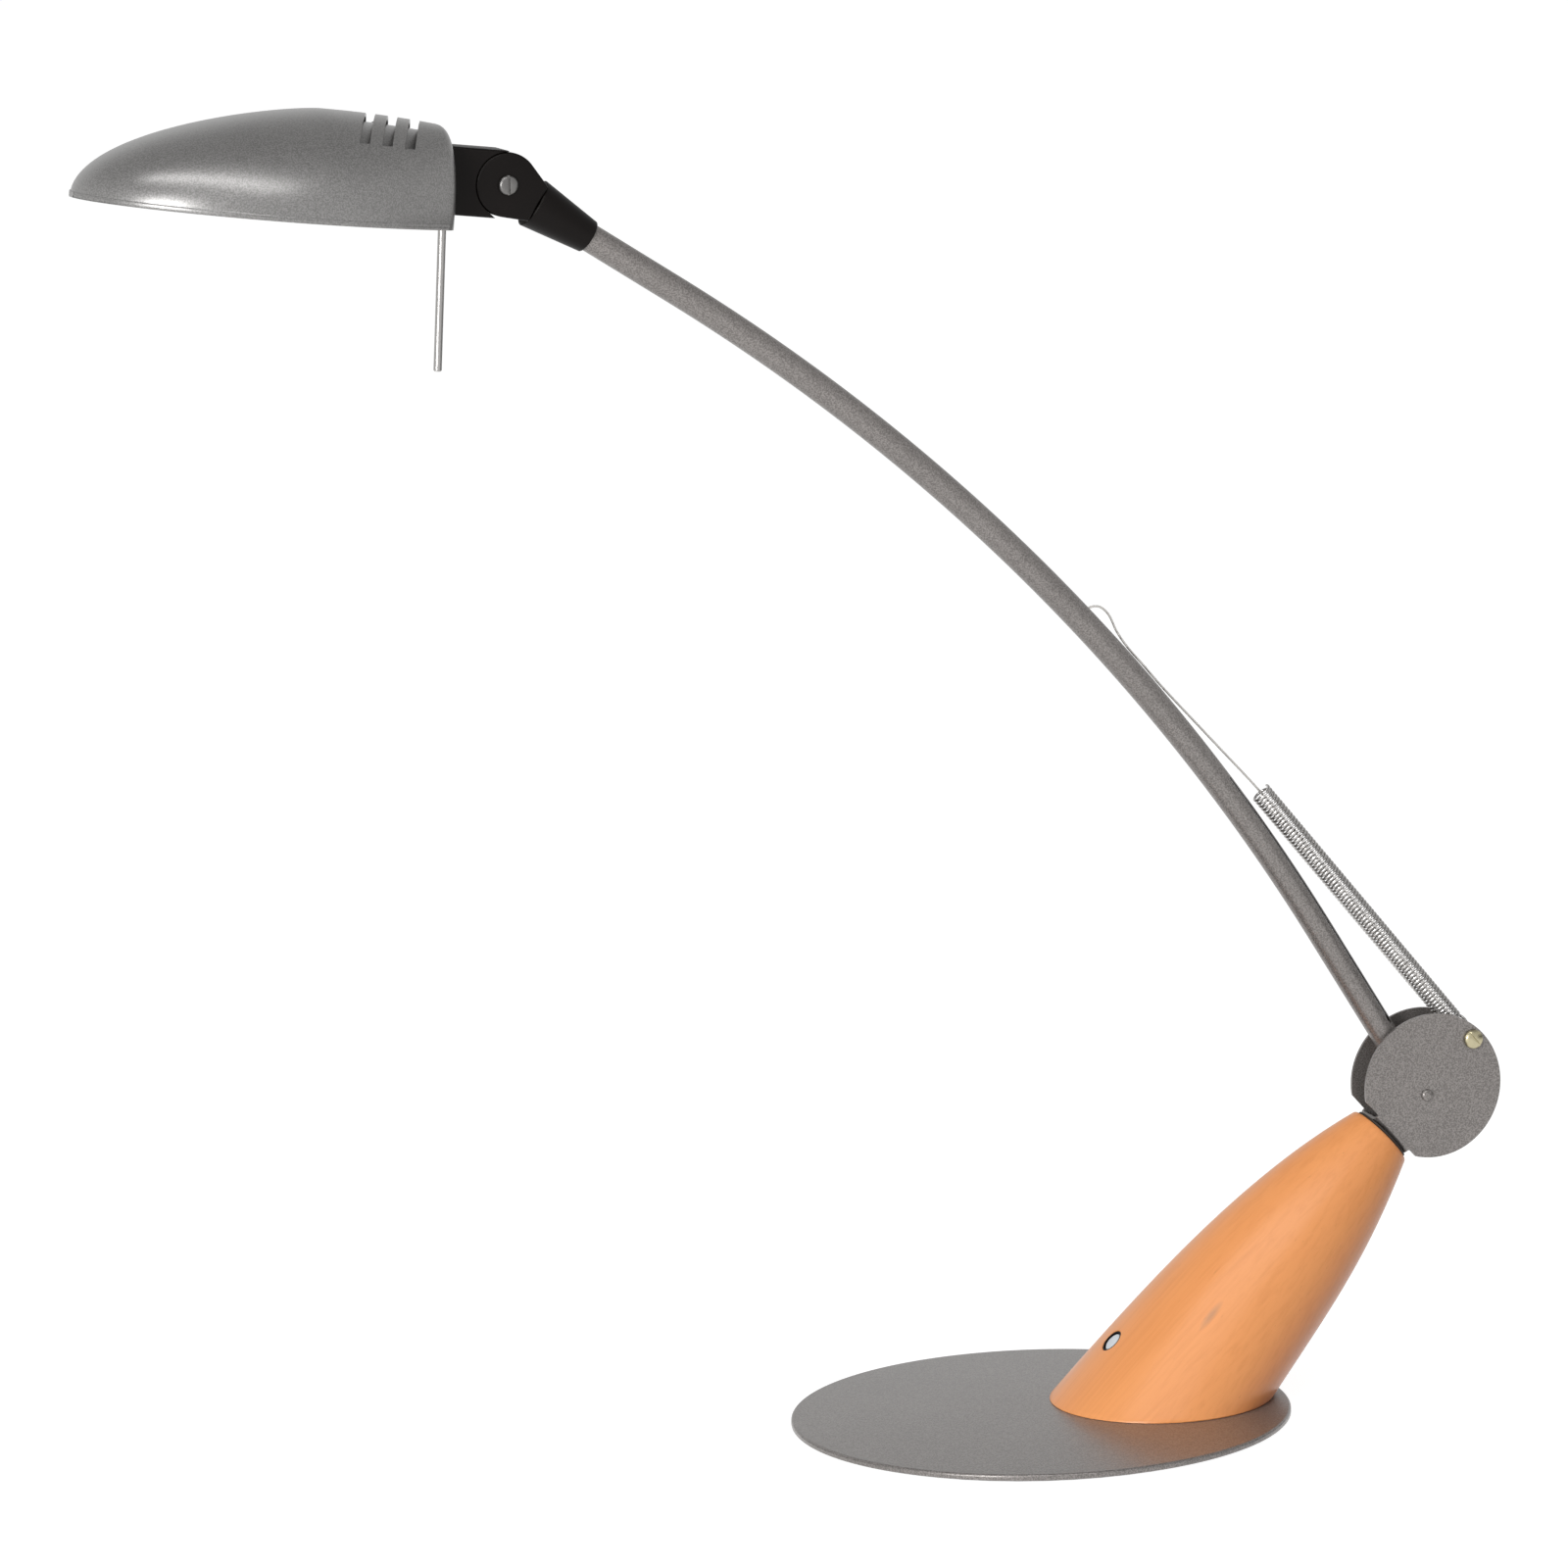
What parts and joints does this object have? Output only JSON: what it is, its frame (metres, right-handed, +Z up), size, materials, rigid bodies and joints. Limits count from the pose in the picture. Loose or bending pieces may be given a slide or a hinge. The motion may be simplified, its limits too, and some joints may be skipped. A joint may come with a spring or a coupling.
{
  "type": "desk lamp",
  "caption": "Desk lamp with a round base plate, a leaning wooden foot, a forked yoke, a bowed tube arm balanced by a coil spring, a jointed shade with a handle rod and a push switch.",
  "frame": {"origin": "centre of the round base's underside, where the lamp rests", "axes": "+Z up; the arm swings in the plane y = 0, the shade points towards -X and the foot leans towards +X; -Y is the side with the push switch and the screw heads"},
  "size_m": [0.5707, 0.2, 0.5411],
  "materials": {
    "pad_rubber": "matt dark rubber",
    "grey_metallic_paint": "satin silver-grey metallic paint with fine grain",
    "shade_paint": "satin silver-grey metallic paint on pressed aluminium",
    "beech": "satin lacquered orange-tan beech",
    "black_plastic": "satin black",
    "steel": "bright plated steel",
    "yellow_zinc": "yellowish zinc plating",
    "button_plastic": "pale silver-white",
    "fibre": "dark pressed fibre",
    "ceramic": "unglazed ceramic",
    "bright_aluminium": "bright rolled aluminium",
    "bulb_glass": "clear quartz glass"
  },
  "bodies": {
    "base": {"base_pad": "pad_rubber", "base_plate": "grey_metallic_paint", "base_screw_1": "steel", "base_screw_2": "steel", "base_screw_3": "steel", "wooden_foot": "beech", "switch_bush": "black_plastic", "switch_body": "black_plastic", "lead_inlet": "pad_rubber", "swivel_washer": "fibre", "swivel_tube": "steel", "swivel_spring_washer": "steel", "swivel_nut": "steel"},
    "button": {"switch_button": "button_plastic"},
    "yoke_body": {"yoke": "grey_metallic_paint", "pivot_rivet": "grey_metallic_paint", "spring_screw": "yellow_zinc", "spring_roller": "steel", "spring_nut": "yellow_zinc"},
    "arm": {"arm_tube": "grey_metallic_paint", "arm_lug": "steel", "friction_washer_1": "fibre", "friction_washer_2": "fibre", "tension_cable": "steel", "cable_bead": "steel", "cable_ferrule": "steel", "arm_sleeve": "black_plastic"},
    "spring": {"balance_spring": "steel"},
    "neck_body": {"neck": "black_plastic", "neck_nut": "steel", "knuckle_screw": "steel", "knuckle_nut": "steel", "knuckle_washer_1": "fibre", "knuckle_washer_2": "fibre"},
    "head": {"head_bracket": "black_plastic", "bracket_screw_1": "steel", "bracket_screw_2": "steel", "shade": "shade_paint", "reflector": "bright_aluminium", "holder_plate": "steel", "lamp_holder": "ceramic", "bulb": "bulb_glass", "handle_rod": "steel"}
  },
  "joints": [
    {"name": "button_press", "type": "slide", "parent": "base", "child": "button", "axis": [-0.7039, 0, 0.7103], "range_m": [-0.001, 0], "stiffness_N_per_m": 1500},
    {"name": "yoke_swivel", "type": "hinge", "parent": "base", "child": "yoke_body", "pos_m": [0.1491, 0, 0.1004], "axis": [0.7604, 0, 0.6494], "range_deg": [-45, 45]},
    {"name": "arm_tilt", "type": "hinge", "parent": "yoke_body", "child": "arm", "pos_m": [0.16678, 0, 0.11681], "axis": [0, 1, 0], "range_deg": [-25, 20]},
    {"name": "spring_swing", "type": "hinge", "parent": "yoke_body", "child": "spring", "pos_m": [0.18717, 0, 0.13805], "axis": [0, 1, 0], "range_deg": [-26, 21], "deforming": ["balance_spring"]},
    {"name": "neck_swivel", "type": "hinge", "parent": "arm", "child": "neck_body", "pos_m": [-0.20452, 0, 0.50821], "axis": [0.831, 0, -0.5563], "range_deg": [-90, 90]},
    {"name": "head_tilt", "type": "hinge", "parent": "neck_body", "child": "head", "pos_m": [-0.20452, 0, 0.50821], "axis": [0, 1, 0], "range_deg": [-30, 55]}
  ],
  "couplings": [
    {"joint": "spring_swing", "follows": "arm_tilt", "ratio": 1.0166}
  ]
}
